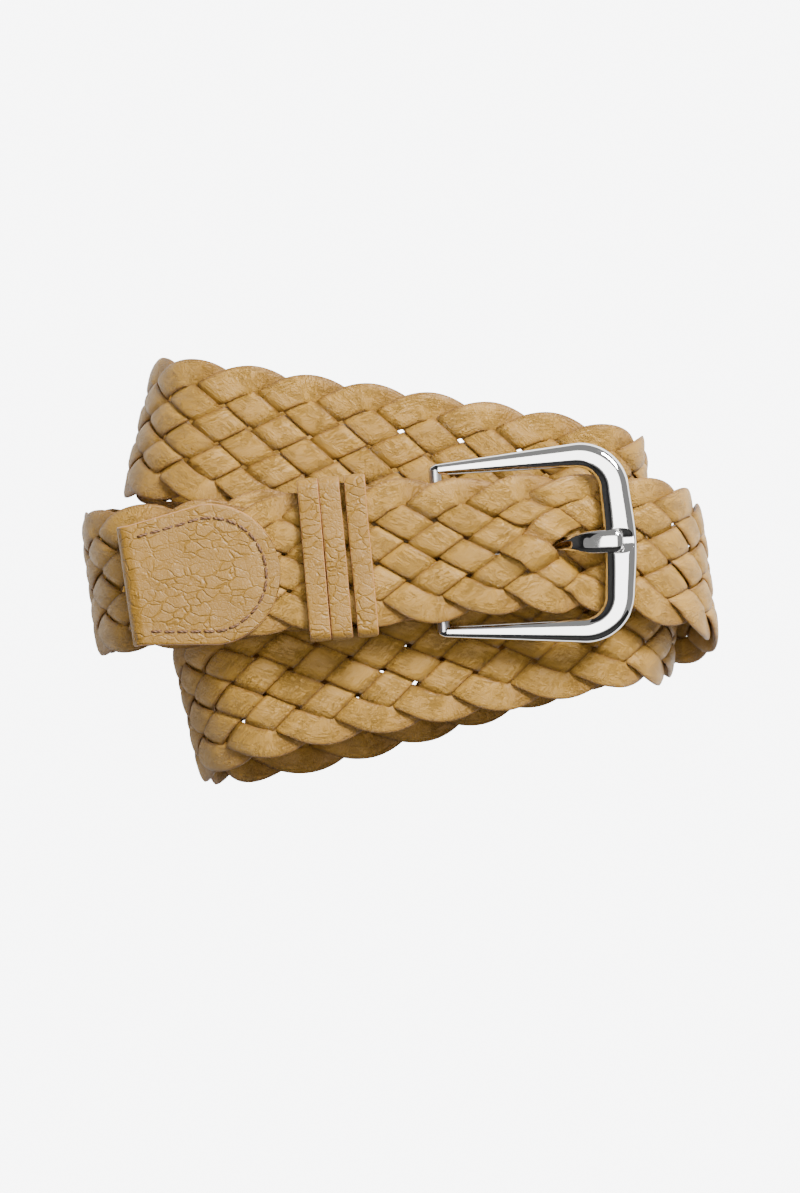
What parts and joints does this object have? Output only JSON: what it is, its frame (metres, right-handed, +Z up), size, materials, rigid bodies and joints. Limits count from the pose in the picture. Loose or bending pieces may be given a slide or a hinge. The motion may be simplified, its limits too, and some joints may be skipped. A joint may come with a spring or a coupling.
{
  "type": "braided leather belt",
  "caption": "Coiled and buckled braided leather dress belt with an open-heel metal buckle, three narrow keeper loops and a stitched leather tip cap.",
  "frame": {"origin": "centre of the bounding box's base, where the coiled belt rests on its outer face", "axes": "+X along the passes of the coil from the tip cap towards the outer bar of the buckle, +Y across the strap, +Z up out of the front face"},
  "size_m": [0.1523, 0.1022, 0.0628],
  "materials": {
    "lace_leather": "soft nappa, satin",
    "grained_leather": "pebble grain, satin",
    "thread": "twisted, matt",
    "nickel": "polished nickel plate",
    "steel": "satin"
  },
  "bodies": {
    "strap": {"lace_1": "lace_leather", "lace_2": "lace_leather", "lace_3": "lace_leather", "lace_4": "lace_leather", "lace_5": "lace_leather", "lace_6": "lace_leather", "lace_7": "lace_leather", "tip_cap": "grained_leather", "tip_needle_thread": "thread", "tip_bobbin_thread": "thread", "chape": "grained_leather", "chape_needle_thread": "thread", "chape_bobbin_thread": "thread"},
    "buckle": {"buckle_frame": "nickel", "heel_bar": "steel"},
    "prong": {"prong": "nickel"},
    "keeper_1": {"keeper_1": "grained_leather", "staple_1": "steel"},
    "keeper_2": {"keeper_2": "grained_leather", "staple_2": "steel"},
    "keeper_3": {"keeper_3": "grained_leather", "staple_3": "steel"}
  },
  "joints": [
    {"name": "buckle_hinge", "type": "hinge", "parent": "strap", "child": "buckle", "pos_m": [0.00914, 0.00487, 0.05358], "axis": [0.0558, -0.9984, 0], "range_deg": [0, 0.8]},
    {"name": "prong_hinge", "type": "hinge", "parent": "buckle", "child": "prong", "pos_m": [0.00914, 0.00487, 0.05358], "axis": [0.0558, -0.9984, 0], "range_deg": [0, 0.4]},
    {"name": "keeper_1_slide", "type": "slide", "parent": "strap", "child": "keeper_1", "axis": [0.9959, 0.0906, 0], "range_m": [-0.0045, 0]},
    {"name": "keeper_2_slide", "type": "slide", "parent": "strap", "child": "keeper_2", "axis": [0.9959, 0.0906, 0], "range_m": [0, 0.0009]},
    {"name": "keeper_3_slide", "type": "slide", "parent": "strap", "child": "keeper_3", "axis": [0.9959, 0.0906, 0], "range_m": [0, 0.006]}
  ]
}
